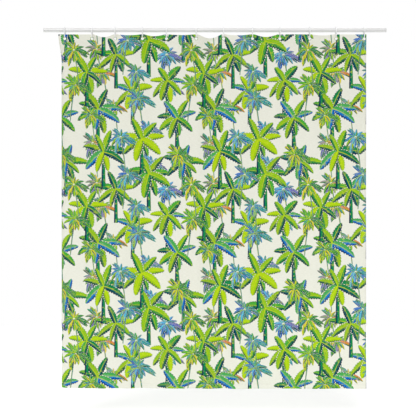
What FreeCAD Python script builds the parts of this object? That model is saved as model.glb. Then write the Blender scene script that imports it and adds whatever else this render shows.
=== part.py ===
import FreeCAD, Part
import Sketcher
import os
import re

# A shower curtain on its rod. Millimetres and degrees. The origin is on the rod's axis at mid-span,
# +X runs along the rod, +Y points into the tub side, +Z is up.

RING_COUNT = 12

# name, value, what it is
SIZES = [
    ("rod_length", 2030, "over both end plugs"),
    ("rod_diameter", 25, "outside of the tube"),
    ("rod_wall", 1, "tube wall"),
    ("plug_face", 3, "thickness of an end plug's face"),
    ("plug_spigot", 30, "length of the plug inside the tube"),
    ("turn_fit", 0.1, "radial running clearance of the tube on its plugs"),
    ("turn_gap", 0.4, "gap between the tube's end and the plug's face"),
    ("ring_pitch", 161.8, "mean spacing of the rings along the rod"),
    ("ring_wire", 5.6, "thickness of a ring's round section"),
    ("ring_side_gap", 2.1, "gap beside the rod inside a ring that has turned as far as it does"),
    ("ring_foot_width", 22, "inside width of the ring's lower bow"),
    ("ring_rise", 1, "gap between the rod's top and the ring"),
    ("clasp_wall", 1.3, "how much thicker the snap clasp is than the ring, all round"),
    ("clasp_length", 14, "length of the ring's snap clasp"),
    ("clasp_bevel", 0.8, "bevel on the clasp's ends"),
    ("cloth_gap", 12.5, "from the rod's underside down to the cloth's top edge"),
    ("cloth_height", 2100, "top edge to bottom edge"),
    ("cloth_thickness", 1.2, "the plain cloth"),
    ("left_margin", 11.7, "cloth beyond the first eyelet's stitching"),
    ("right_margin", 1.7, "cloth beyond the last eyelet's stitching"),
    ("header_height", 50, "depth of the folded header"),
    ("header_thickness", 2.4, "folded cloth with the tape inside"),
    ("hem_height", 30, "depth of the bottom hem"),
    ("hem_thickness", 2.4, "folded cloth of the hem"),
    ("tape_margin", 4, "header left above and below the stiffening tape"),
    ("tape_thickness", 1, "the stiffening tape"),
    ("eyelet_drop", 25, "from the cloth's top edge to the middle of an eyelet"),
    ("eyelet_play", 9.4, "how much wider than the ring's section the opening in the stitching is"),
    ("stitch_lining", 1, "stitching that lines the hole in the cloth"),
    ("stitch_rim", 1.8, "stitching on the cloth's faces, beyond the lining"),
    ("stitch_height", 0.6, "how far the stitching stands off the header's faces"),
    ("hang_gap", 1.4, "gap over the ring's foot at the top of the eyelet"),
    ("fold_limit", 75, "how far each strip turns when the curtain is drawn"),
    ("fold_clearance", 0.4, "spare room at a fold line"),
]

# How far each ring stands from its even place along the rod.
RING_SHIFTS = [0, 0, -25, -25, -45, -30, -30, -20, -20, -5, -10, -5]

doc = FreeCAD.newDocument("shower_curtain")
sheet = doc.addObject("Spreadsheet::Sheet", "Sizes")
subparts = []


def fill_sheet():
    """Writes every driving size into the sheet, one row each, with its alias."""
    shifts = [
        ("ring_shift_%02d" % (place + 1), shift, "ring's place along the rod, from even spacing")
        for place, shift in enumerate(RING_SHIFTS)
    ]
    for row, (alias, value, note) in enumerate(SIZES + shifts, start=1):
        sheet.set("A%d" % row, alias)
        sheet.set("B%d" % row, str(value))
        sheet.set("C%d" % row, note)
        sheet.setAlias("B%d" % row, alias)
    doc.recompute()


def size(text):
    """An expression in which each size name points at the sheet. All of the names hold an underscore."""
    return re.sub(r"[a-z]+_\w+", r"Sizes.\g<0>", text)


def bind(thing, **expressions):
    """Binds properties of an object to the sheet. x, y and z set its place."""
    for name, text in expressions.items():
        path = ".Placement.Base." + name if name in ("x", "y", "z") else name
        thing.setExpression(path, size(text))
    return thing


def box(name, **expressions):
    return bind(doc.addObject("Part::Box", name), **expressions)


def cylinder(name, turn=None, **expressions):
    """A cylinder, along Z or turned to run along another axis."""
    made = doc.addObject("Part::Cylinder", name)
    if turn:
        made.Placement.Rotation = turn
    return bind(made, **expressions)


def fuse(name, *pieces):
    made = doc.addObject("Part::MultiFuse", name)
    made.Shapes = list(pieces)
    made.Refine = True
    return made


def cut(name, base, tool):
    made = doc.addObject("Part::Cut", name)
    made.Base = base
    made.Tool = tool
    return made


def finish(thing, label):
    """Names a finished sub-part."""
    thing.Label = label
    subparts.append(thing)
    return thing


ALONG_X = FreeCAD.Rotation(FreeCAD.Vector(0, 1, 0), 90)
ALONG_Y = FreeCAD.Rotation(FreeCAD.Vector(1, 0, 0), -90)

# Heights and places that several pieces share.
CLOTH_TOP = "(0 - rod_diameter / 2 - cloth_gap)"
CLOTH_BOTTOM = f"({CLOTH_TOP} - cloth_height)"
EYELET_Z = f"({CLOTH_TOP} - eyelet_drop)"
EYELET_RADIUS = "((ring_wire + eyelet_play) / 2)"
FOOT_Z = f"({EYELET_Z} + {EYELET_RADIUS} - hang_gap - ring_wire / 2)"
# A ring turns half as far as its strip of cloth, so the rod takes up more of its width.
RING_TURN = "(fold_limit / 2)"
BOW_INSIDE = (
    f"((rod_diameter / 2 + ring_wire / 2 * sin({RING_TURN})) / cos({RING_TURN}) + ring_side_gap)"
)
BOW_RADIUS = f"({BOW_INSIDE} + ring_wire / 2)"
FOOT_RADIUS = "((ring_foot_width + ring_wire) / 2)"
BOW_CENTRE = f"(rod_diameter / 2 + ring_rise - {BOW_INSIDE})"
BOW_TO_FOOT = f"({BOW_CENTRE} - {FOOT_Z} - {FOOT_RADIUS})"
# The straight legs of a ring lean in towards the foot by this angle.
LEG_LEAN = f"asin(({BOW_RADIUS} - {FOOT_RADIUS}) / {BOW_TO_FOOT})"
CLOTH_HOLE = f"({EYELET_RADIUS} + stitch_lining)"
STITCH_RADIUS = f"({CLOTH_HOLE} + stitch_rim)"
# Half the gap between two strips at a fold line, so that their thick headers clear when folded.
FOLD_GAP = "(header_thickness / 2 * tan(fold_limit) + fold_clearance)"


def ring_x(number):
    """Where a ring stands along the rod."""
    return f"(ring_pitch * ({number - (RING_COUNT + 1) / 2}) + ring_shift_{number:02d})"


def fold_x(number):
    """The fold line midway between a ring and the next one."""
    return f"({ring_x(number)} + {ring_x(number + 1)}) / 2"


def strip_left(number):
    """Left edge of a strip: the cloth's own edge, or just past a fold line."""
    if number == 1:
        return f"({ring_x(1)} - {STITCH_RADIUS} - left_margin)"
    return f"({fold_x(number - 1)} + {FOLD_GAP})"


def strip_right(number):
    """Right edge of a strip: the cloth's own edge, or just short of a fold line."""
    if number == RING_COUNT:
        return f"({ring_x(RING_COUNT)} + {STITCH_RADIUS} + right_margin)"
    return f"({fold_x(number)} - {FOLD_GAP})"


def rod_tube():
    """The tube, which turns on the spigots of its end plugs."""
    length = "rod_length - 2 * (plug_face + turn_gap)"
    start = "0 - rod_length / 2 + plug_face + turn_gap"
    outside = cylinder("TubeOutside", ALONG_X, Radius="rod_diameter / 2", Height=length, x=start)
    inside = cylinder("TubeInside", ALONG_X, Radius="rod_diameter / 2 - rod_wall", Height=length, x=start)
    finish(cut("RodTube", outside, inside), "rod_tube")


def end_plug(label, face_x, spigot_x):
    """A plug with a face as wide as the tube and a spigot inside it."""
    face = cylinder(label + "_face", ALONG_X, Radius="rod_diameter / 2", Height="plug_face", x=face_x)
    spigot = cylinder(
        label + "_spigot", ALONG_X,
        Radius="rod_diameter / 2 - rod_wall - turn_fit", Height="plug_spigot", x=spigot_x,
    )
    finish(fuse(label + "_body", face, spigot), label)


def origin_plane(body, role):
    return next(plane for plane in body.Origin.OriginFeatures if plane.Role == role)


def flat_sketch(body, name, role):
    """A sketch on one of the body's own origin planes."""
    sketch = body.newObject("Sketcher::SketchObject", name)
    sketch.AttachmentSupport = (origin_plane(body, role), [""])
    sketch.MapMode = "FlatFace"
    return sketch


def name_constraint(sketch, constraint, name, text):
    """Adds a constraint and binds its value to the sheet."""
    place = sketch.addConstraint(constraint)
    sketch.renameConstraint(place, name)
    sketch.setExpression("Constraints." + name, size(text))


def ring_path(body, label):
    """The ring's centre line: a wide bow over the rod, a narrow foot in the eyelet and two straight legs.
    In this sketch x is the part's Y and y is its Z, measured from the middle of the bow."""
    sketch = flat_sketch(body, label + "_path", "YZ_Plane")
    point = FreeCAD.Vector
    axis = point(0, 0, 1)
    wide, narrow, drop = 23.0, 14.0, 28.0
    upper = sketch.addGeometry(Part.ArcOfCircle(Part.Circle(point(0, 0, 0), axis, wide), -0.3, 3.44))
    lower = sketch.addGeometry(Part.ArcOfCircle(Part.Circle(point(0, -drop, 0), axis, narrow), 3.44, 5.98))
    left = sketch.addGeometry(Part.LineSegment(point(-wide, -7, 0), point(-narrow, -drop - 4, 0)))
    right = sketch.addGeometry(Part.LineSegment(point(narrow, -drop - 4, 0), point(wide, -7, 0)))
    start, end, centre = 1, 2, 3
    origin, vertical = -1, -2
    sketch.addConstraint(Sketcher.Constraint("Coincident", upper, centre, origin, start))
    sketch.addConstraint(Sketcher.Constraint("PointOnObject", lower, centre, vertical))
    sketch.addConstraint(Sketcher.Constraint("Tangent", upper, end, left, start))
    sketch.addConstraint(Sketcher.Constraint("Tangent", left, end, lower, start))
    sketch.addConstraint(Sketcher.Constraint("Tangent", lower, end, right, start))
    sketch.addConstraint(Sketcher.Constraint("Tangent", right, end, upper, start))
    name_constraint(sketch, Sketcher.Constraint("Radius", upper, wide), "bow", BOW_RADIUS)
    name_constraint(sketch, Sketcher.Constraint("Radius", lower, narrow), "foot", FOOT_RADIUS)
    name_constraint(
        sketch, Sketcher.Constraint("DistanceY", lower, centre, origin, start, drop), "drop", BOW_TO_FOOT
    )
    return sketch


def round_section(body, name, radius):
    """A circle about the body's vertical axis, in the plane that cuts the foot of the ring."""
    sketch = flat_sketch(body, name, "XZ_Plane")
    circle = Part.Circle(FreeCAD.Vector(0, -50, 0), FreeCAD.Vector(0, 0, 1), 3.0)
    sketch.addGeometry(circle)
    sketch.addConstraint(Sketcher.Constraint("PointOnObject", 0, 3, -2))
    name_constraint(sketch, Sketcher.Constraint("Radius", 0, 3.0), "section", radius)
    name_constraint(
        sketch, Sketcher.Constraint("DistanceY", 0, 3, -1, 1, 50.0),
        "depth", f"{BOW_CENTRE} - {FOOT_Z}",
    )
    return sketch


def clasp(body, label):
    """The thicker sleeve halfway down the rear leg, where the ring snaps shut."""
    sleeve = body.newObject("PartDesign::AdditiveCylinder", label + "_clasp")
    sleeve.Placement.Rotation = FreeCAD.Rotation(FreeCAD.Vector(-1, 0, 0), 20)
    mean_radius = f"({BOW_RADIUS} + {FOOT_RADIUS}) / 2"
    bind(
        sleeve, Radius="ring_wire / 2 + clasp_wall", Height="clasp_length",
        y=f"{mean_radius} * cos({LEG_LEAN}) - clasp_length / 2 * sin({LEG_LEAN})",
        z=f"0 - {BOW_TO_FOOT} / 2 - {mean_radius} * sin({LEG_LEAN}) - clasp_length / 2 * cos({LEG_LEAN})",
    )
    sleeve.setExpression(".Placement.Rotation.Angle", size(LEG_LEAN))
    doc.recompute()
    rims = [
        "Edge%d" % place
        for place, edge in enumerate(sleeve.Shape.Edges, start=1)
        if edge.Curve.TypeId == "Part::GeomCircle" and abs(edge.Curve.Radius - sleeve.Radius.Value) < 1e-6
    ]
    bevel = body.newObject("PartDesign::Chamfer", label + "_bevel")
    bevel.Base = (sleeve, rims)
    bind(bevel, Size="clasp_bevel")


def ring(number):
    """A one-piece plastic snap ring with its clasp on the rear leg."""
    label = "ring_%02d" % number
    body = doc.addObject("PartDesign::Body", "Ring%02d" % number)
    path = ring_path(body, label)
    section = round_section(body, label + "_section", "ring_wire / 2")
    doc.recompute()
    loop = body.newObject("PartDesign::AdditivePipe", label + "_loop")
    loop.Profile = section
    loop.Spine = (path, [])
    clasp(body, label)
    bind(body, x=ring_x(number), z=BOW_CENTRE)
    return finish(body, label)


def curtain_strip(number):
    """One ring's share of the cloth: a plain panel with the folded header above and the hem below."""
    label = "curtain_strip_%02d" % number
    left = strip_left(number)
    width = f"{strip_right(number)} - {left}"
    panel = box(
        label + "_panel", Length=width, Width="cloth_thickness", Height="cloth_height",
        x=left, y="0 - cloth_thickness / 2", z=CLOTH_BOTTOM,
    )
    header = box(
        label + "_header", Length=width, Width="header_thickness", Height="header_height",
        x=left, y="0 - header_thickness / 2", z=f"{CLOTH_TOP} - header_height",
    )
    hem = box(
        label + "_hem", Length=width, Width="hem_thickness", Height="hem_height",
        x=left, y="0 - hem_thickness / 2", z=CLOTH_BOTTOM,
    )
    cloth = fuse(label + "_cloth", panel, header, hem)
    hollow = fuse(label + "_hollow", tape_blank(number, label), eyelet_hole(number, label))
    finish(cut(label + "_body", cloth, hollow), label)


def tape_blank(number, label):
    """The space that the tape fills inside the header, from edge to edge of a strip."""
    return box(
        label + "_tape", Length=f"{strip_right(number)} - {strip_left(number)}",
        Width="tape_thickness", Height="header_height - 2 * tape_margin",
        x=strip_left(number), y="0 - tape_thickness / 2",
        z=f"{CLOTH_TOP} - header_height + tape_margin",
    )


def eyelet_hole(number, label):
    """The hole cut through the header for an eyelet."""
    return cylinder(
        label + "_hole", ALONG_Y, Radius=CLOTH_HOLE, Height="2 * header_thickness",
        x=ring_x(number), y="0 - header_thickness", z=EYELET_Z,
    )


def header_tape(number):
    """The stiffening tape inside the folded header."""
    label = "header_tape_%02d" % number
    finish(cut(label + "_body", tape_blank(number, label), eyelet_hole(number, label)), label)


def eyelet_stitching(number):
    """Thread that lines the hole and lies on both faces around it."""
    label = "eyelet_stitching_%02d" % number
    place = {"x": ring_x(number), "z": EYELET_Z}
    front_y = "0 - header_thickness / 2 - stitch_height"
    lining = cylinder(
        label + "_lining", ALONG_Y, Radius=CLOTH_HOLE,
        Height="header_thickness + 2 * stitch_height", y=front_y, **place
    )
    front = cylinder(
        label + "_front", ALONG_Y, Radius=STITCH_RADIUS, Height="stitch_height", y=front_y, **place
    )
    back = cylinder(
        label + "_back", ALONG_Y, Radius=STITCH_RADIUS, Height="stitch_height",
        y="header_thickness / 2", **place
    )
    bore = cylinder(
        label + "_bore", ALONG_Y, Radius=EYELET_RADIUS, Height="2 * (header_thickness + stitch_height)",
        y="0 - header_thickness - stitch_height", **place
    )
    thread = fuse(label + "_thread", lining, front, back)
    finish(cut(label + "_body", thread, bore), label)


def write_steps():
    """Checks every object and writes each sub-part's solid."""
    doc.recompute()
    for thing in doc.Objects:
        if {"Invalid", "Error"} & set(thing.State):
            raise RuntimeError("%s failed: %s" % (thing.Label, thing.State))
    os.makedirs("parts", exist_ok=True)
    for thing in subparts:
        shape = thing.Shape
        if shape.isNull() or not shape.isValid() or shape.Volume <= 0:
            raise RuntimeError("%s has no sound solid" % thing.Label)
        shape.exportStep("parts/%s.step" % thing.Label)
        print("%-22s %10.1f mm3  %d solid" % (thing.Label, shape.Volume, len(shape.Solids)))


fill_sheet()
rod_tube()
end_plug("end_plug_left", "0 - rod_length / 2", "0 - rod_length / 2 + plug_face")
end_plug("end_plug_right", "rod_length / 2 - plug_face", "rod_length / 2 - plug_face - plug_spigot")
for place in range(1, RING_COUNT + 1):
    ring(place)
    curtain_strip(place)
    header_tape(place)
    eyelet_stitching(place)
write_steps()
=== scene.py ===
import math
import random

import bpy
import numpy as np
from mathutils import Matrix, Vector, geometry


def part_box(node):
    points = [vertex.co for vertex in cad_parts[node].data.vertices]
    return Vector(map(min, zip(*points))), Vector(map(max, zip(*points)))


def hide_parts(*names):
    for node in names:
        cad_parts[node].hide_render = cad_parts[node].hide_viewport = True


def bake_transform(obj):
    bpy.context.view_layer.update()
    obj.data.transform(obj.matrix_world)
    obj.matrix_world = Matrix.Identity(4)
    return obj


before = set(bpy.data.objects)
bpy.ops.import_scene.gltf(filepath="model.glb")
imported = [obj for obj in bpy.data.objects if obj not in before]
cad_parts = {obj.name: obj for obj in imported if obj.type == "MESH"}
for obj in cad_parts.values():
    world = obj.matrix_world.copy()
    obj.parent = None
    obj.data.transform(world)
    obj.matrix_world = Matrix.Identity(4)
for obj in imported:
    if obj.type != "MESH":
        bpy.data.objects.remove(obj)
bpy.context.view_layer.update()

# ---------------------------------------------------------------------------------------------------
# Sizes, in metres. Places come from the frame.

RINGS = 12
RING_X = [sum(corner.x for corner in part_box("ring_%02d" % n)) / 2 for n in range(1, RINGS + 1)]
CLOTH_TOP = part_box("curtain_strip_01")[1].z
CLOTH_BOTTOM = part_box("curtain_strip_01")[0].z
CLOTH_HEIGHT = CLOTH_TOP - CLOTH_BOTTOM
CLOTH_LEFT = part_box("curtain_strip_01")[0].x
CLOTH_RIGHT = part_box("curtain_strip_12")[1].x
EYELET_Z = sum(corner.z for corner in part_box("eyelet_stitching_01")) / 2
EYELET_OUTSIDE = (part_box("eyelet_stitching_01")[1].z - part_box("eyelet_stitching_01")[0].z) / 2
HEADER_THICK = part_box("curtain_strip_01")[1].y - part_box("curtain_strip_01")[0].y

# The stitching's rim lies this wide on the cloth, round the hole that is cut for it.
STITCH_RIM = 0.0018
EYELET_CUT = EYELET_OUTSIDE - STITCH_RIM
CLOTH_THICK = 0.0007
HEADER_HEIGHT = 0.050
HEM_HEIGHT = 0.030
SIDE_HEM = 0.012
# Cloth beyond the end rings, laid flat.
LEFT_FLAT = 0.038
RIGHT_FLAT = 0.013

# For each gap between two rings: how far the top edge sags and how far the cloth bows there, in
# millimetres. A bow towards the room is positive.
DRAPE = [
    (1, 5), (14, -9), (6, 9), (9, -8), (5, 6), (20, -11),
    (7, 9), (13, -9), (0, 6), (5, -7), (1, 5),
]
# The share of a gap, beside each ring, in which the cloth is held level.
RING_HOLD = 0.07


def flat_ring_places():
    """Distance of each ring line from the cloth's left edge, measured on the flat cloth."""
    places = [LEFT_FLAT]
    for n, (sag, bow) in enumerate(DRAPE):
        gap = RING_X[n + 1] - RING_X[n]
        slack = (8 / 3 * (sag / 1000) ** 2 + math.pi ** 2 / 4 * (bow / 1000) ** 2) / gap
        places.append(places[-1] + gap + slack)
    return places


RING_FLAT = flat_ring_places()
FLAT_WIDTH = RING_FLAT[-1] + RIGHT_FLAT


# ---------------------------------------------------------------------------------------------------
# The drape: where each point of the flat cloth hangs. a runs from the left edge, b up from the hem.

def smooth(x):
    """Runs smoothly from 0 to 1 as x does."""
    x = np.clip(x, 0, 1)
    return x * x * (3 - 2 * x)


def gap_of(a):
    """Which gap a point is in, and how far along it, from 0 to 1. Past the end rings it runs on."""
    gap = np.clip(np.searchsorted(RING_FLAT, a, side="right") - 1, 0, RINGS - 2)
    lines = np.array(RING_FLAT)
    return gap, (a - lines[gap]) / (lines[gap + 1] - lines[gap])


def curl(past, length, kept):
    """Places across and behind for a margin that curls back, so that only a share of it shows."""
    past = np.clip(past, 0, 1.1 * length)
    tight = 2 * (1 - kept)
    u = 1 - tight * past / length
    behind = length / (2 * tight) * (math.pi / 2 - u * np.sqrt(1 - u * u) - np.arcsin(u))
    return past - tight * past ** 2 / (2 * length), behind


def hang(a, b):
    """Places of the cloth's middle surface for flat points a, b, as an array of x, y, z rows."""
    gap, share = gap_of(a)
    ring_x = np.array(RING_X)
    x = ring_x[gap] + share * (ring_x[gap + 1] - ring_x[gap])
    depth = CLOTH_HEIGHT - b
    sag = np.array([row[0] for row in DRAPE])[gap] / 1000
    bow = np.array([row[1] for row in DRAPE])[gap] / 1000
    inner = np.clip((share - RING_HOLD) / (1 - 2 * RING_HOLD), 0, 1)
    between = (4 * inner * (1 - inner)) ** 1.25

    # Beyond the end rings the margin lies flat at the top and curls back a little lower down.
    loose = smooth(depth / 0.16)
    past_left = np.clip(-share, 0, None) * (RING_FLAT[1] - RING_FLAT[0])
    past_right = np.clip(share - 1, 0, None) * (RING_FLAT[-1] - RING_FLAT[-2])
    left_across, left_behind = curl(past_left, LEFT_FLAT, (RING_X[0] - CLOTH_LEFT) / LEFT_FLAT)
    right_across, right_behind = curl(past_right, RIGHT_FLAT, (CLOTH_RIGHT - RING_X[-1]) / RIGHT_FLAT)
    x = np.where(share < 0, RING_X[0] - past_left + loose * (past_left - left_across), x)
    x = np.where(share > 1, RING_X[-1] + past_right + loose * (right_across - past_right), x)

    # The bow of each gap fades into broad soft folds towards the hem.
    fade = np.exp(-depth / 0.9)
    y = -bow * between * (0.35 + 0.65 * fade) * smooth(depth / 0.05 + 0.35)
    low = smooth(depth / 1.4)
    y = y + low * (
        0.0062 * np.sin(2 * math.pi * (x + 0.05 * depth) / 0.41 + 0.6)
        + 0.0040 * np.sin(2 * math.pi * (x - 0.03 * depth) / 0.23 + 2.1)
    )
    y = y + loose * (left_behind + right_behind)
    # Where the top edge sags it also leans over, so that the header is not pulled straight.
    lean = np.sign(bow) * sag * between * np.exp(-((depth / 0.055) ** 2))
    y = y - 0.75 * lean

    drop = sag * between * (0.22 + 0.78 * np.exp(-depth / 0.22))
    lift = 0.004 * smooth((CLOTH_RIGHT - x) / (CLOTH_RIGHT - CLOTH_LEFT)) * smooth(depth / 2)
    z = CLOTH_TOP - depth - drop + lift
    return np.stack([x, y, z], axis=1)


def facing(place, a, b, step=0.0006):
    """Unit normals of a surface place(a, b), pointing to the room."""
    across = place(a + step, b) - place(a - step, b)
    up = place(a, b + step) - place(a, b - step)
    normal = np.cross(across, up)
    return normal / np.linalg.norm(normal, axis=1)[:, None]


def half_thickness(a, b):
    """Half the cloth's thickness: more in the folded header, bottom hem and side hems."""
    edge = 0.0012
    folded = np.maximum.reduce([
        smooth((b - (CLOTH_HEIGHT - HEADER_HEIGHT)) / edge + 0.5),
        smooth((HEM_HEIGHT - b) / edge + 0.5),
        smooth((SIDE_HEM - a) / edge + 0.5),
        smooth((a - (FLAT_WIDTH - SIDE_HEM)) / edge + 0.5),
    ])
    thick = CLOTH_THICK / 2 + (HEADER_THICK - CLOTH_THICK) / 2 * folded
    # The folds are rounded over at the cloth's outer edges.
    rim = np.minimum.reduce([b, CLOTH_HEIGHT - b, a, FLAT_WIDTH - a])
    return thick * np.sqrt(smooth(rim / edge) * 0.85 + 0.15)


def face_place(side):
    """The cloth's front (side 1) or back (side -1) face as a function of flat points."""
    def place(a, b):
        return hang(a, b) + facing(hang, a, b) * (side * half_thickness(a, b))[:, None]
    return place


# ---------------------------------------------------------------------------------------------------
# The print: a generic tropical leaf pattern that repeats. Millimetres on the flat cloth, y up.

# The size of one repeat.
TILE_WIDTH, TILE_HEIGHT = 707.0, 798.0
# A shape's form says what it is: 0 is the ground, 0.5 a leaf and 2 a stalk.
OVAL, STALK = 0.5, 2.0


def rgb(red, green, blue):
    """A colour as the eye sees it, 0 to 255, as linear light."""
    shares = [value / 255 for value in (red, green, blue)]
    return [c / 12.92 if c <= 0.04045 else ((c + 0.055) / 1.055) ** 2.4 for c in shares]


# The colours of the print.
LIME = rgb(158, 206, 0)
LIGHT_LIME = rgb(184, 220, 0)
FRESH = rgb(78, 182, 48)
GREEN = rgb(10, 140, 70)
DEEP = rgb(0, 92, 80)
NAVY = rgb(0, 70, 96)
TEAL = rgb(0, 156, 168)
BLUE = rgb(0, 108, 216)
SKY = rgb(74, 190, 240)
VIOLET = rgb(120, 116, 196)
YELLOW = rgb(240, 222, 0)
ORANGE = rgb(240, 134, 50)
OLIVE = rgb(146, 160, 84)
MAUVE = rgb(168, 150, 168)


def leaf_width(x, fullness):
    """Half width of a leaf along its length, both from 0 to 1."""
    q = x ** 0.8
    return max(0.0, 4 * q * (1 - q)) ** fullness


def shape(root, degrees, length, half, bend, colours, luck, form=OVAL, points=10):
    """A leaf or stalk. half and bend are shares of its length, and its middle line is a parabola.

    A negative half swaps the leaf's light and dark sides.
    """
    angle = math.radians(degrees)
    along = (math.cos(angle), math.sin(angle))
    across = (-along[1], along[0])
    outline = []
    for side in (-1, 1):
        for step in range(points + 1) if side < 0 else range(points, -1, -1):
            x = step / points
            if form < STALK:
                if side > 0 and step in (0, points):
                    continue
                wide = abs(half) * leaf_width(x, form)
            else:
                wide = abs(half) * (1 - 0.35 * x)
            outline.append((x, bend * x * x + side * wide))
    spots = [
        (
            root[0] + length * (x * along[0] + y * across[0]),
            root[1] + length * (x * along[1] + y * across[1]),
        )
        for x, y in outline
    ]
    return {
        "form": form, "root": root, "along": along, "across": across, "length": length, "half": half,
        "bend": bend, "tint": colours[0], "shade": colours[1], "seed": luck.uniform(0, 6), "spots": spots,
    }


# The light and dark colours that a broad leaf may have.
LEAF_COLOURS = [
    (LIME, DEEP), (LIGHT_LIME, LIME), (FRESH, DEEP),
    (LIME, GREEN), (GREEN, NAVY), (FRESH, BLUE),
]
CROWN_LEAVES = 8
LEAF_LENGTH = 124
TRUNK_LENGTH = 200


def broad_plant(x, y, size, luck):
    """A tapering trunk with one crown of broad leaves, fanned evenly and hanging more to the sides."""
    foot = (x, y - TRUNK_LENGTH * size)
    shapes = [shape(foot, 90, TRUNK_LENGTH * size, 0.06, 0.0, (GREEN, NAVY), luck, STALK, 6)]
    for n in range(CROWN_LEAVES):
        degrees = 360 * (n * 3 % CROWN_LEAVES + 0.5) / CROWN_LEAVES + luck.uniform(-11, 11)
        out = math.cos(math.radians(degrees))
        side = 1 if out > 0 else -1
        shapes.append(shape(
            (x, y), degrees, LEAF_LENGTH * size * luck.uniform(0.82, 1.12),
            -side * luck.uniform(0.16, 0.22), -side * 0.32 * abs(out), luck.choice(LEAF_COLOURS), luck,
            OVAL, 12,
        ))
    return shapes


# The leaflets' colours in each palm, going round it from the right, and the colours of their shades.
PALETTES = [
    ([VIOLET, SKY, BLUE, TEAL, SKY, BLUE, SKY, TEAL, FRESH, BLUE, SKY, TEAL, SKY], (BLUE, NAVY, TEAL)),
    ([GREEN, LIME, YELLOW, FRESH, LIME, TEAL, YELLOW, LIME, YELLOW, FRESH], (GREEN, DEEP, FRESH)),
    ([ORANGE, FRESH, YELLOW, LIME, TEAL, MAUVE, YELLOW, FRESH, VIOLET, LIME, YELLOW, TEAL],
     (DEEP, MAUVE, GREEN)),
    ([TEAL, SKY, FRESH, TEAL, BLUE, LIME, SKY, LIME, TEAL, BLUE], (TEAL, BLUE, DEEP)),
]


PALM_STALK = 190
# How many leaflets each layer of a palm's mop has, their length and half width as a share of it.
PALM_LAYERS = [(15, 80, 0.14), (12, 60, 0.16), (9, 38, 0.19)]


def palm(x, y, size, palette, lean, luck):
    """A slender bent stalk with a mop of narrow hanging leaflets."""
    shapes = [shape(
        (x, y), 270 + lean, PALM_STALK * size, 0.02, -lean / 170, (OLIVE, TEAL), luck, STALK, 8,
    )]
    colours, shades = PALETTES[palette]
    for count, length, half in PALM_LAYERS:
        for n in range(count):
            degrees = 360 * ((n * 5) % count) / count + luck.uniform(-9, 9)
            turn = math.radians(degrees)
            rise = math.sin(turn)
            side = 1 if math.cos(turn) > 0 else -1
            reach = length * size * (1.0 - 0.28 * max(0.0, rise)) * luck.uniform(0.82, 1.12)
            pick = colours[int(degrees / 360 * len(colours) + luck.uniform(-0.8, 0.8)) % len(colours)]
            shapes.append(shape(
                (x + 5 * size * math.cos(turn), y + 5 * size * rise), degrees, reach, -side * half,
                -side * 0.46 * abs(math.cos(turn)), (pick, shades[luck.randrange(3)]), luck, OVAL, 6,
            ))
    return shapes


# How many plants one repeat has, the step of the lattice that each kind stands on, and how far they stray.
BROAD_PLANTS, BROAD_STEP = 10, 3
PALMS, PALM_STEP = 17, 4
STRAY = 30.0


def spread(count, step, luck):
    """Spots spread evenly over one repeat, on a lattice that also fits across its edges."""
    return [
        (
            TILE_WIDTH * ((n * step) % count) / count + luck.uniform(-STRAY, STRAY),
            TILE_HEIGHT * n / count + luck.uniform(-STRAY, STRAY),
        )
        for n in range(count)
    ]


def print_tile():
    """Every shape of one repeat, in the order in which they are laid over each other."""
    luck = random.Random(11)
    behind, front, broad = [], [], []
    for n, (x, y) in enumerate(spread(PALMS, PALM_STEP, luck)):
        layer = front if n % 2 else behind
        layer += palm(x, y, luck.uniform(0.95, 1.2), n % len(PALETTES), luck.choice((-12, 12)), luck)
    for x, y in spread(BROAD_PLANTS, BROAD_STEP, luck):
        broad += broad_plant(x, y, luck.uniform(0.95, 1.15), luck)
    return behind + broad + front


TILE = print_tile()


def shapes_near(low, high):
    """Copies of the repeat's shapes that reach between two lines across the cloth, a from low to high."""
    found = []
    columns = range(math.floor(low / TILE_WIDTH) - 1, math.ceil(high / TILE_WIDTH) + 2)
    rows = range(-1, math.ceil(CLOTH_HEIGHT * 1000 / TILE_HEIGHT) + 2)
    for row in reversed(rows):
        for column in columns:
            shift = (column * TILE_WIDTH, row * TILE_HEIGHT)
            for item in TILE:
                across = [spot[0] + shift[0] for spot in item["spots"]]
                upward = [spot[1] + shift[1] for spot in item["spots"]]
                if max(across) < low or min(across) > high:
                    continue
                if max(upward) < 0 or min(upward) > CLOTH_HEIGHT * 1000:
                    continue
                found.append((item, shift))
    return found


# ---------------------------------------------------------------------------------------------------
# Cutting the cloth into panels, with the print inlaid in the mesh.

# How far the print starts below the hem's edge, and the mesh's spacing up and across. Millimetres.
PRINT_FALL = 20.0
ROW_STEP = 24.0
COLUMN_STEP = 11.0
EYELET_SIDES = 36
# A panel's front lies on its texture in this many columns side by side, as shares of its width.
TEXTURE_COLUMNS = 4
COLUMN_PITCH, COLUMN_WIDTH, BACK_WIDTH = 0.23, 0.22, 0.07


def evenly(low, high, step):
    """Values from low to high, about a step apart."""
    count = max(1, round((high - low) / step))
    return [low + (high - low) * n / count for n in range(count + 1)]


def level_lines():
    """Heights, in millimetres, at which every panel has mesh points: closer in the header and hem."""
    top, header, hem = CLOTH_HEIGHT * 1000, HEADER_HEIGHT * 1000, HEM_HEIGHT * 1000
    lines = [0.0, 0.5, 1.2] + evenly(5, hem - 4, 8) + evenly(hem - 1.2, hem + 1.2, 0.6)
    lines += evenly(hem + 10, top - header - 8, ROW_STEP)
    lines += evenly(top - header - 1.2, top - header + 1.2, 0.6)
    lines += evenly(top - header + 6, top - 5, 6) + [top - 1.2, top - 0.5, top]
    return sorted(set(round(line, 4) for line in lines + [top * n / TEXTURE_COLUMNS for n in (1, 2, 3)]))


LEVELS = level_lines()


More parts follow.
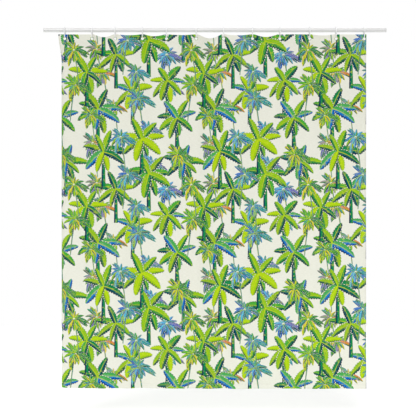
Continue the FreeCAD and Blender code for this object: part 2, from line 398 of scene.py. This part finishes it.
def panel_triangles(low, high):
    """Triangles of the flat panel between two lines across the cloth, and the shape on each one."""
    top = CLOTH_HEIGHT * 1000
    columns = evenly(low, high, COLUMN_STEP)
    for edge, sign in ((0.0, 1), (FLAT_WIDTH * 1000, -1)):
        if abs(low - edge) < 0.01 or abs(high - edge) < 0.01:
            fine = [0.5, 1.2, SIDE_HEM * 1000 - 0.6, SIDE_HEM * 1000, SIDE_HEM * 1000 + 0.6]
            columns = sorted(set(columns) | {edge + sign * value for value in fine})
    points, faces, edges = [], [], []

    def add_face(spots):
        """Adds an outline whose inside the triangulation keeps track of."""
        first = len(points)
        points.extend(Vector(spot) for spot in spots)
        faces.append(list(range(first, first + len(spots))))

    border = [(a, 0.0) for a in columns[:-1]] + [(high, b) for b in LEVELS[:-1]]
    border += [(a, top) for a in reversed(columns[1:])] + [(low, b) for b in reversed(LEVELS[1:])]
    add_face(border)
    holes = []
    for line in RING_FLAT:
        if low - 10 < line * 1000 < high + 10:
            centre = (line * 1000, top - (CLOTH_TOP - EYELET_Z) * 1000)
            turns = [2 * math.pi * n / EYELET_SIDES for n in range(EYELET_SIDES)]
            radius = EYELET_CUT * 1000
            holes.append(len(faces))
            add_face([(centre[0] + radius * math.cos(t), centre[1] + radius * math.sin(t)) for t in turns])
    first_shape = len(faces)
    near = shapes_near(low, high)
    for item, shift in near:
        add_face([(spot[0] + shift[0], spot[1] + shift[1] - PRINT_FALL) for spot in item["spots"]])
    for level in (top * n / TEXTURE_COLUMNS for n in (1, 2, 3)):
        points.extend([Vector((low - 1, level)), Vector((high + 1, level))])
        edges.append((len(points) - 2, len(points) - 1))
    points.extend(Vector((a, b)) for a in columns[1:-1] for b in LEVELS[1:-1])
    spots, _, triangles, _, _, owners = geometry.delaunay_2d_cdt(points, edges, faces, 0, 1e-4, True)
    kept, shapes = [], []
    for triangle, owner in zip(triangles, owners):
        if 0 not in owner or any(hole in owner for hole in holes):
            continue
        kept.append(tuple(triangle))
        shapes.append(max(owner) - first_shape)
    flat = np.array([(spot.x, spot.y) for spot in spots])
    used, corners = np.unique(np.array(kept), return_inverse=True)
    return flat[used], corners.reshape(-1, 3), shapes, near


def print_facts(flat, triangles, shapes, near):
    """For each corner of each triangle, what the print's material needs to know there."""
    corners = flat[triangles]
    motif = np.zeros((len(triangles), 3, 3), np.float32)
    form = np.zeros((len(triangles), 3, 3), np.float32)
    tint = np.ones((len(triangles), 3, 4), np.float32)
    shade = np.ones((len(triangles), 3, 4), np.float32)
    by_shape = {}
    for n, owner in enumerate(shapes):
        if owner >= 0:
            by_shape.setdefault(owner, []).append(n)
    for owner, members in by_shape.items():
        item, shift = near[owner]
        root = np.array(item["root"]) + np.array(shift) - np.array([0, PRINT_FALL])
        offset = (corners[members] - root) / item["length"]
        motif[members, :, 0] = offset @ np.array(item["along"])
        motif[members, :, 1] = offset @ np.array(item["across"])
        motif[members, :, 2] = item["seed"]
        form[members] = (item["half"], item["bend"], item["form"])
        tint[members, :, :3] = item["tint"]
        shade[members, :, :3] = item["shade"]
    return motif, form, tint, shade


def bake_map(flat, triangles, low, high, back):
    """Places on the texture: the panel's height in four columns, and its back in a fifth."""
    corners = flat[triangles]
    top = CLOTH_HEIGHT * 1000
    across = (corners[:, :, 0] - low) / (high - low)
    if back:
        upward = corners[:, :, 1] / top
        left, width = TEXTURE_COLUMNS * COLUMN_PITCH, BACK_WIDTH
    else:
        column = np.clip(corners[:, :, 1].mean(axis=1) / top * TEXTURE_COLUMNS, 0, TEXTURE_COLUMNS - 0.001)
        column = np.floor(column)[:, None]
        upward = corners[:, :, 1] / top * TEXTURE_COLUMNS - column
        left, width = column * COLUMN_PITCH, COLUMN_WIDTH
    return np.stack([left + 0.003 + across * width, 0.005 + 0.99 * upward], axis=2)


def outline_edges(triangles):
    """Edges that only one triangle has, each in that triangle's direction."""
    count = {}
    for triangle in triangles:
        for n in range(3):
            edge = (triangle[n], triangle[(n + 1) % 3])
            count[edge] = count.get(edge, 0) + 1
    return [edge for edge in count if (edge[1], edge[0]) not in count]


def stitch_row(start, end, side, pitch=0.0042, length=0.0029, wide=0.0004):
    """Thread stitches along a line on the flat cloth, as points and faces, on one face of the cloth."""
    place = face_place(side)
    start, end = np.array(start), np.array(end)
    run = np.linalg.norm(end - start)
    count = max(1, int(run / pitch))
    direction = (end - start) / run
    middles = start + (np.arange(count)[:, None] + 0.5) / count * (end - start)
    ring = [(-0.5, 0, 0), (0.5, 0, 0)]
    ring += [(x, y, h) for x in (-0.3, 0.3) for y, h in ((-1, 0.1), (0, 1.1), (1, 0.1), (0, -0.6))]
    across = np.array([-direction[1], direction[0]])
    verts = []
    for x, y, h in ring:
        spot = middles + direction * (x * length) + across * (y * wide)
        base = place(spot[:, 0], spot[:, 1])
        verts.append(base + facing(hang, spot[:, 0], spot[:, 1]) * (side * h * wide * 1.2))
    verts = np.stack(verts, axis=1).reshape(-1, 3)
    loop = []
    for n in range(4):
        m = (n + 1) % 4
        loop += [(0, 2 + m, 2 + n), (1, 6 + n, 6 + m), (2 + n, 2 + m, 6 + m), (2 + n, 6 + m, 6 + n)]
    faces = [tuple(10 * s + n for n in face) for s in range(count) for face in loop]
    return verts, faces


def panel_mesh(name, low, high):
    """One panel of cloth as a closed mesh with the print, the hems and their stitching."""
    flat, triangles, shapes, near = panel_triangles(low * 1000, high * 1000)
    a, b = flat[:, 0] / 1000, flat[:, 1] / 1000
    front, back = face_place(1)(a, b), face_place(-1)(a, b)
    front_out, back_out = facing(face_place(1), a, b), -facing(face_place(-1), a, b)
    count = len(flat)
    rim = outline_edges(triangles)
    rim_faces = []
    for p, q in rim:
        rim_faces += [(q, p, p + count), (q, p + count, q + count)]
    back_triangles = triangles[:, ::-1] + count

    top = CLOTH_HEIGHT
    rows = []
    for side in (1, -1):
        for level in (HEM_HEIGHT - 0.003, top - HEADER_HEIGHT + 0.003):
            rows.append(((low, level), (high, level), side))
        if low < 0.001:
            rows.append(((SIDE_HEM - 0.002, 0.035), (SIDE_HEM - 0.002, top - 0.055), side))
        if high > FLAT_WIDTH - 0.001:
            edge = FLAT_WIDTH - SIDE_HEM + 0.002
            rows.append(((edge, 0.035), (edge, top - 0.055), side))
    thread_verts, thread_faces = [], []
    total = 2 * count
    for start, end, side in rows:
        verts, faces = stitch_row(start, end, side)
        thread_verts.append(verts)
        thread_faces += [tuple(n + total for n in face) for face in faces]
        total += len(verts)

    every_vert = np.concatenate([front, back] + thread_verts)
    every_face = [tuple(t) for t in triangles.tolist()] + [tuple(t) for t in back_triangles.tolist()]
    every_face += rim_faces + thread_faces
    mesh = bpy.data.meshes.new(name)
    mesh.from_pydata(every_vert.tolist(), [], every_face)
    cloth_faces = 2 * len(triangles)
    slots = np.zeros(len(every_face), np.int32)
    slots[len(triangles):cloth_faces + len(rim_faces)] = 1
    slots[cloth_faces + len(rim_faces):] = 2
    mesh.polygons.foreach_set("material_index", slots)
    smooth_faces = np.ones(len(every_face), bool)
    smooth_faces[cloth_faces:cloth_faces + len(rim_faces)] = False
    mesh.polygons.foreach_set("use_smooth", smooth_faces)

    facts = print_facts(flat, triangles, shapes, near)
    spare = 3 * (len(every_face) - cloth_faces)
    kinds = (("motif", "FLOAT_VECTOR", "vector", 3), ("form", "FLOAT_VECTOR", "vector", 3),
             ("tint", "FLOAT_COLOR", "color", 4), ("shade", "FLOAT_COLOR", "color", 4))
    for (label, data_type, field, width), values in zip(kinds, facts):
        layer = mesh.attributes.new(label, data_type, "CORNER")
        both = np.concatenate([values.reshape(-1, width), values[:, ::-1].reshape(-1, width)])
        both = np.concatenate([both, np.zeros((spare, width), np.float32)])
        layer.data.foreach_set(field, both.astype(np.float32).ravel())

    flat_all = np.concatenate([flat, flat, np.zeros((total - 2 * count, 2))]) / 1000
    loops = np.zeros(len(mesh.loops), np.int32)
    mesh.loops.foreach_get("vertex_index", loops)
    cloth_map = mesh.uv_layers.new(name="Cloth")
    cloth_map.data.foreach_set("uv", flat_all[loops].astype(np.float32).ravel())
    bake = mesh.uv_layers.new(name="OFBake")
    fronts = bake_map(flat, triangles, low * 1000, high * 1000, False)
    backs = bake_map(flat, triangles, low * 1000, high * 1000, True)[:, ::-1]
    rest = np.full((spare, 2), 0.996)
    bake.data.foreach_set(
        "uv", np.concatenate([fronts.reshape(-1, 2), backs.reshape(-1, 2), rest]).astype(np.float32).ravel()
    )

    outward = np.zeros((len(mesh.loops), 3))
    shown = np.concatenate([front_out, back_out])
    cloth_loops = 3 * cloth_faces
    outward[:cloth_loops] = shown[loops[:cloth_loops]]
    mesh.normals_split_custom_set(outward.tolist())
    mesh.validate()
    return mesh


# ---------------------------------------------------------------------------------------------------
# Materials.

def link(tree, value, socket):
    """Sets a socket from another socket or a number."""
    if isinstance(value, bpy.types.NodeSocket):
        tree.links.new(value, socket)
    else:
        socket.default_value = value


class Maker:
    """Short calls that add nodes to a tree and return their output socket."""

    def __init__(self, tree):
        self.tree = tree

    def math(self, operation, a, b=0.0, c=0.0, clamp=False):
        node = self.tree.nodes.new("ShaderNodeMath")
        node.operation, node.use_clamp = operation, clamp
        for value, socket in zip((a, b, c), node.inputs):
            link(self.tree, value, socket)
        return node.outputs[0]

    def ramp(self, value, low, high):
        """0 at low and 1 at high, smoothly."""
        node = self.tree.nodes.new("ShaderNodeMapRange")
        node.interpolation_type = "SMOOTHSTEP"
        for name, item in (("Value", value), ("From Min", low), ("From Max", high)):
            link(self.tree, item, node.inputs[name])
        return node.outputs["Result"]

    def mix(self, share, first, second, blend="MIX"):
        node = self.tree.nodes.new("ShaderNodeMix")
        node.data_type, node.blend_type = "RGBA", blend
        for place, item in ((0, share), (6, first), (7, second)):
            if isinstance(item, (list, tuple)):
                item = (*item, 1.0) if len(item) == 3 else item
            link(self.tree, item, node.inputs[place])
        return node.outputs[2]

    def noise(self, vector, scale, detail=2.0, rough=0.5, extra=None):
        node = self.tree.nodes.new("ShaderNodeTexNoise")
        node.noise_dimensions = "4D" if extra is not None else "3D"
        link(self.tree, vector, node.inputs["Vector"])
        if extra is not None:
            link(self.tree, extra, node.inputs["W"])
        for name, item in (("Scale", scale), ("Detail", detail), ("Roughness", rough)):
            node.inputs[name].default_value = item
        return node.outputs["Fac"]

    def attribute(self, name):
        node = self.tree.nodes.new("ShaderNodeAttribute")
        node.attribute_name = name
        return node

    def split(self, vector):
        node = self.tree.nodes.new("ShaderNodeSeparateXYZ")
        link(self.tree, vector, node.inputs[0])
        return node.outputs

    def join(self, x, y, z):
        node = self.tree.nodes.new("ShaderNodeCombineXYZ")
        for value, socket in zip((x, y, z), node.inputs):
            link(self.tree, value, socket)
        return node.outputs[0]

    def bump(self, height, distance, strength=1.0, normal=None):
        node = self.tree.nodes.new("ShaderNodeBump")
        node.inputs["Distance"].default_value = distance
        node.inputs["Strength"].default_value = strength
        link(self.tree, height, node.inputs["Height"])
        if normal is not None:
            link(self.tree, normal, node.inputs["Normal"])
        return node.outputs[0]


def new_material(name):
    material = bpy.data.materials.new(name)
    material.use_nodes = True
    return material, material.node_tree, material.node_tree.nodes["Principled BSDF"]


def print_colour(make):
    """The colour of the printed cloth, from what each corner of the mesh says about its leaf."""
    flat = make.tree.nodes.new("ShaderNodeUVMap")
    flat.uv_map = "Cloth"
    spot = flat.outputs[0]
    x, y, seed = make.split(make.attribute("motif").outputs["Vector"])[:3]
    half, bend, form = make.split(make.attribute("form").outputs["Vector"])[:3]
    tint = make.attribute("tint").outputs["Color"]
    shade = make.attribute("shade").outputs["Color"]
    wash = make.noise(spot, 62, 3, 0.6, seed)
    grain = make.noise(spot, 190, 2, 0.6, seed)
    is_stalk = make.math("GREATER_THAN", form, 1.9)
    is_leaf = make.math("SUBTRACT", 1.0, is_stalk)

    # How far across the leaf the point is: 0 on the midrib, 1 on the dark edge, -1 on the light one.
    skewed = make.math("POWER", make.math("MAXIMUM", x, 0.0), 0.8)
    swell = make.math("MULTIPLY", make.math("MULTIPLY", skewed, make.math("SUBTRACT", 1.0, skewed)), 4.0)
    wide = make.math("POWER", make.math("MAXIMUM", swell, 0.02), form)
    wide = make.math("MAXIMUM", wide, make.math("MULTIPLY", is_stalk, 0.85))
    offset = make.math("SUBTRACT", y, make.math("MULTIPLY", bend, make.math("MULTIPLY", x, x)))
    side = make.math("DIVIDE", offset, make.math("MULTIPLY", half, wide))
    out = make.math("ABSOLUTE", side)

    loose = make.math("MULTIPLY_ADD", make.math("SUBTRACT", wash, 0.5), 2.4, side)
    colour = make.mix(make.ramp(loose, -0.45, 0.55), tint, shade)
    bright = make.mix(0.6, tint, rgb(226, 240, 60))
    colour = make.mix(make.math("MULTIPLY", make.ramp(wash, 0.55, 0.62), 0.7), colour, bright)
    pale = make.math("MULTIPLY", make.ramp(grain, 0.57, 0.72), 0.12)
    colour = make.mix(pale, colour, rgb(214, 236, 190))

    # Side veins slant from the midrib towards the tip.
    slant = make.math("MULTIPLY_ADD", make.math("ABSOLUTE", offset), -1.1, x)
    comb = make.math("SINE", make.math("MULTIPLY_ADD", slant, 84.0, seed))
    veins = make.math("MULTIPLY", make.math("MULTIPLY", make.ramp(comb, 0.2, 0.9), 0.42), is_leaf)
    colour = make.mix(veins, colour, make.mix(0.5, shade, rgb(4, 70, 70)))

    # Ragged edges: dark on one side, and beyond them a rim of bare ground.
    lobes = make.math("ABSOLUTE", make.math("SINE", make.math("MULTIPLY_ADD", x, 29.0, seed)))
    notch = make.math("MULTIPLY_ADD", make.math("MULTIPLY", lobes, lobes), -0.26, 0.22)
    torn = make.math("MULTIPLY_ADD", make.math("SUBTRACT", grain, 0.5), 0.6, notch)
    raggedness = make.math("MULTIPLY_ADD", is_leaf, 0.6, 0.4)
    ragged = make.math("ADD", out, make.math("MULTIPLY", torn, raggedness))
    broad = make.math("MULTIPLY", make.ramp(make.math("ABSOLUTE", half), 0.12, 0.2), is_leaf)
    darker = make.ramp(side, -0.8, 0.6)
    edge_start = make.math("MULTIPLY_ADD", darker, -0.12, make.math("MULTIPLY_ADD", broad, 0.08, 0.66))
    edge = make.ramp(ragged, edge_start, make.math("ADD", edge_start, 0.16))
    strength = make.math("MULTIPLY_ADD", darker, 0.55, 0.42)
    colour = make.mix(make.math("MULTIPLY", edge, strength), colour, make.mix(0.15, rgb(0, 30, 56), shade))

    # A yellow midrib on the leaves.
    rib_width = make.math("MULTIPLY_ADD", make.math("SUBTRACT", 1.0, x), 0.015, 0.005)
    rib_share = make.math("DIVIDE", make.math("ABSOLUTE", offset), rib_width)
    rib = make.math("MULTIPLY", make.math("SUBTRACT", 1.0, make.ramp(rib_share, 0.6, 1.3)), is_leaf)
    colour = make.mix(make.math("MULTIPLY", rib, 0.8), colour, rgb(206, 218, 26))

    x_flat, y_flat = make.split(spot)[:2]
    slub = make.noise(make.join(x_flat, make.math("MULTIPLY", y_flat, 5.0), 0.0), 60, 3, 0.7)
    ground = make.mix(make.ramp(slub, 0.35, 0.7), rgb(238, 238, 226), rgb(230, 230, 215))
    bare = make.math("MULTIPLY", make.ramp(ragged, 1.0, 1.05), is_leaf)
    printed = make.math("MULTIPLY", make.ramp(form, 0.1, 0.2), make.math("SUBTRACT", 1.0, bare))
    return make.mix(printed, ground, colour), spot


WEAVE_PITCH = 0.0011


def weave_height(make, spot):
    """A plain weave: threads that pass over and under each other."""
    x, y = make.split(spot)[:2]
    turns = 2 * math.pi / WEAVE_PITCH
    warp = make.math("SINE", make.math("MULTIPLY", x, turns))
    weft = make.math("SINE", make.math("MULTIPLY", y, turns))
    return make.math("MULTIPLY", warp, weft)


def cloth_material(name, fade):
    """Printed polyester. fade is how far the print is lost in white, as on the back."""
    material, tree, shader = new_material(name)
    make = Maker(tree)
    colour, spot = print_colour(make)
    if fade:
        colour = make.mix(fade, colour, rgb(240, 240, 234))
    height = weave_height(make, spot)
    thread = make.ramp(height, -1.0, 1.0)
    colour = make.mix(make.math("MULTIPLY", thread, 0.06), colour, (0.0, 0.0, 0.0))
    link(tree, colour, shader.inputs["Base Color"])
    rough = make.math("MULTIPLY_ADD", make.noise(spot, 300), 0.12, 0.76)
    link(tree, rough, shader.inputs["Roughness"])
    shader.inputs["Specular IOR Level"].default_value = 0.15
    shader.inputs["Sheen Weight"].default_value = 0.03
    shader.inputs["Sheen Roughness"].default_value = 0.5
    link(tree, make.bump(height, 0.00006, 0.6), shader.inputs["Normal"])
    return material


def thread_material():
    """Off-white twisted thread of the hem and header stitches."""
    material, tree, shader = new_material("Thread")
    make = Maker(tree)
    coordinates = tree.nodes.new("ShaderNodeTexCoord").outputs["Object"]
    twist = make.noise(coordinates, 2600, 2, 0.6)
    colour = make.mix(twist, rgb(236, 236, 226), rgb(206, 206, 192))
    link(tree, colour, shader.inputs["Base Color"])
    shader.inputs["Roughness"].default_value = 0.7
    shader.inputs["Sheen Weight"].default_value = 0.2
    link(tree, make.bump(twist, 0.00015, 0.8), shader.inputs["Normal"])
    return material


def printed_thread_material():
    """The eyelets' thread, dyed in patches because the cloth is printed after it is sewn."""
    material, tree, shader = new_material("PrintedThread")
    make = Maker(tree)
    coordinates = tree.nodes.new("ShaderNodeTexCoord").outputs["Object"]
    patches = make.noise(coordinates, 58, 2, 0.6)
    other = make.noise(coordinates, 83, 2, 0.6)
    x, y, z = make.split(coordinates)[:3]
    strands = make.noise(make.join(make.math("MULTIPLY", x, 2.0), y, z), 1500, 2, 0.6)
    colour = make.mix(make.ramp(patches, 0.42, 0.55), rgb(150, 190, 90), rgb(222, 222, 205))
    colour = make.mix(make.ramp(other, 0.5, 0.62), colour, rgb(60, 140, 90))
    colour = make.mix(make.math("MULTIPLY", strands, 0.25), colour, (0.02, 0.03, 0.02))
    link(tree, colour, shader.inputs["Base Color"])
    shader.inputs["Roughness"].default_value = 0.72
    shader.inputs["Sheen Weight"].default_value = 0.2
    link(tree, make.bump(strands, 0.0002, 0.8), shader.inputs["Normal"])
    return material


def ring_material():
    """White plastic, slightly cloudy."""
    material, tree, shader = new_material("RingPlastic")
    make = Maker(tree)
    coordinates = tree.nodes.new("ShaderNodeTexCoord").outputs["Object"]
    cloud = make.noise(coordinates, 70, 3, 0.5)
    colour = make.mix(cloud, rgb(250, 250, 250), rgb(240, 241, 242))
    link(tree, colour, shader.inputs["Base Color"])
    fine = make.noise(coordinates, 1500, 2, 0.6)
    link(tree, make.math("MULTIPLY_ADD", fine, 0.12, 0.26), shader.inputs["Roughness"])
    shader.inputs["Subsurface Weight"].default_value = 0.25
    shader.inputs["Subsurface Radius"].default_value = (0.004, 0.004, 0.004)
    link(tree, make.bump(fine, 0.00008, 0.5), shader.inputs["Normal"])
    return material


def rod_material():
    """Satin steel with fine lines that run round it and faint handling marks."""
    material, tree, shader = new_material("RodMetal")
    make = Maker(tree)
    coordinates = tree.nodes.new("ShaderNodeTexCoord").outputs["Object"]
    x, y, z = make.split(coordinates)[:3]
    lines = make.noise(make.join(make.math("MULTIPLY", x, 1600), make.math("MULTIPLY", y, 30),
                                 make.math("MULTIPLY", z, 30)), 1, 3, 0.6)
    marks = make.noise(coordinates, 9, 4, 0.6)
    colour = make.mix(marks, rgb(230, 230, 229), rgb(219, 219, 218))
    link(tree, colour, shader.inputs["Base Color"])
    shader.inputs["Metallic"].default_value = 0.3
    rough = make.math("MULTIPLY_ADD", marks, 0.16, 0.34)
    link(tree, make.math("MULTIPLY_ADD", lines, 0.10, rough), shader.inputs["Roughness"])
    link(tree, make.bump(lines, 0.00003, 0.5), shader.inputs["Normal"])
    return material


def plug_material():
    """Pale grey plastic with a fine grain."""
    material, tree, shader = new_material("PlugPlastic")
    make = Maker(tree)
    coordinates = tree.nodes.new("ShaderNodeTexCoord").outputs["Object"]
    fine = make.noise(coordinates, 900, 3, 0.6)
    cloud = make.noise(coordinates, 60, 2, 0.5)
    link(tree, make.mix(cloud, rgb(222, 222, 220), rgb(208, 208, 206)), shader.inputs["Base Color"])
    link(tree, make.math("MULTIPLY_ADD", fine, 0.2, 0.5), shader.inputs["Roughness"])
    link(tree, make.bump(fine, 0.0002, 0.5), shader.inputs["Normal"])
    return material


# ---------------------------------------------------------------------------------------------------
# Building the scene.


def add_panels():
    """The cloth, cut along the ring lines into panels that bend midway between two rings."""
    materials = [cloth_material("ClothFront", 0.0), cloth_material("ClothBack", 0.6), THREAD]
    lines = [0.0] + RING_FLAT[1:-1] + [FLAT_WIDTH]
    for n in range(RINGS - 1):
        name = "cloth_panel_%02d" % (n + 1)
        panel = bpy.data.objects.new(name, panel_mesh(name, lines[n], lines[n + 1]))
        bpy.context.collection.objects.link(panel)
        for material in materials:
            panel.data.materials.append(material)
        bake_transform(panel)
        nodes = ["curtain_strip_%02d" % (n + 1), "header_tape_%02d" % (n + 1)]
        if n == RINGS - 2:
            nodes += ["curtain_strip_%02d" % RINGS, "header_tape_%02d" % RINGS]
        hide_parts(*nodes)


def dress_node(node, material):
    """Gives a carried-over part its material."""
    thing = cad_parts[node]
    thing.data.materials.clear()
    thing.data.materials.append(material)
    for polygon in thing.data.polygons:
        polygon.material_index = 0


def add_stage():
    """Floor, world and lights."""
    world = bpy.data.worlds.new("Studio")
    bpy.context.scene.world = world
    world.use_nodes = True
    tree = world.node_tree
    make = Maker(tree)
    background = tree.nodes["Background"]
    direction = tree.nodes.new("ShaderNodeTexCoord").outputs["Generated"]
    height = make.split(direction)[2]
    soft = make.mix(make.ramp(height, -0.5, 0.5), (0.36, 0.36, 0.36), (0.60, 0.60, 0.60))
    seen = tree.nodes.new("ShaderNodeLightPath").outputs["Is Camera Ray"]
    link(tree, make.mix(seen, soft, (1.0, 1.0, 1.0)), background.inputs["Color"])

    bpy.ops.mesh.primitive_plane_add(size=9, location=(0, 0, CLOTH_BOTTOM - 0.16))
    floor = bpy.context.object
    floor.name = "floor"
    material, tree, shader = new_material("Floor")
    shader.inputs["Base Color"].default_value = (0.95, 0.95, 0.95, 1)
    shader.inputs["Roughness"].default_value = 0.9
    shader.inputs["Emission Color"].default_value = (1, 1, 1, 1)
    shader.inputs["Emission Strength"].default_value = 0.12
    floor.data.materials.append(material)

    for name, spot, angle, strength in (
        ("key", (-0.25, -1.0, 0.95), 0.7, 1.30), ("back", (0.3, 1.0, 0.8), 0.8, 1.2),
    ):
        light = bpy.data.lights.new(name, "SUN")
        light.angle, light.energy = angle, strength
        lamp = bpy.data.objects.new(name, light)
        bpy.context.collection.objects.link(lamp)
        lamp.rotation_euler = Vector(spot).to_track_quat("Z", "Y").to_euler()


def add_camera():
    """Level with the curtain's middle and square to it."""
    camera = bpy.data.cameras.new("Camera")
    camera.sensor_width = 36
    camera.lens = 87.6
    seat = bpy.data.objects.new("Camera", camera)
    bpy.context.collection.objects.link(seat)
    seat.location = (-0.041, -6.0, -1.054)
    seat.rotation_euler = (math.pi / 2, 0, 0)
    bpy.context.scene.camera = seat
    bpy.context.scene.view_settings.view_transform = "Standard"


THREAD = thread_material()
add_camera()
add_stage()
add_panels()
ring_plastic = ring_material()
printed_thread = printed_thread_material()
for number in range(1, RINGS + 1):
    dress_node("ring_%02d" % number, ring_plastic)
    dress_node("eyelet_stitching_%02d" % number, printed_thread)
dress_node("rod_tube", rod_material())
plug_plastic = plug_material()
dress_node("end_plug_left", plug_plastic)
dress_node("end_plug_right", plug_plastic)
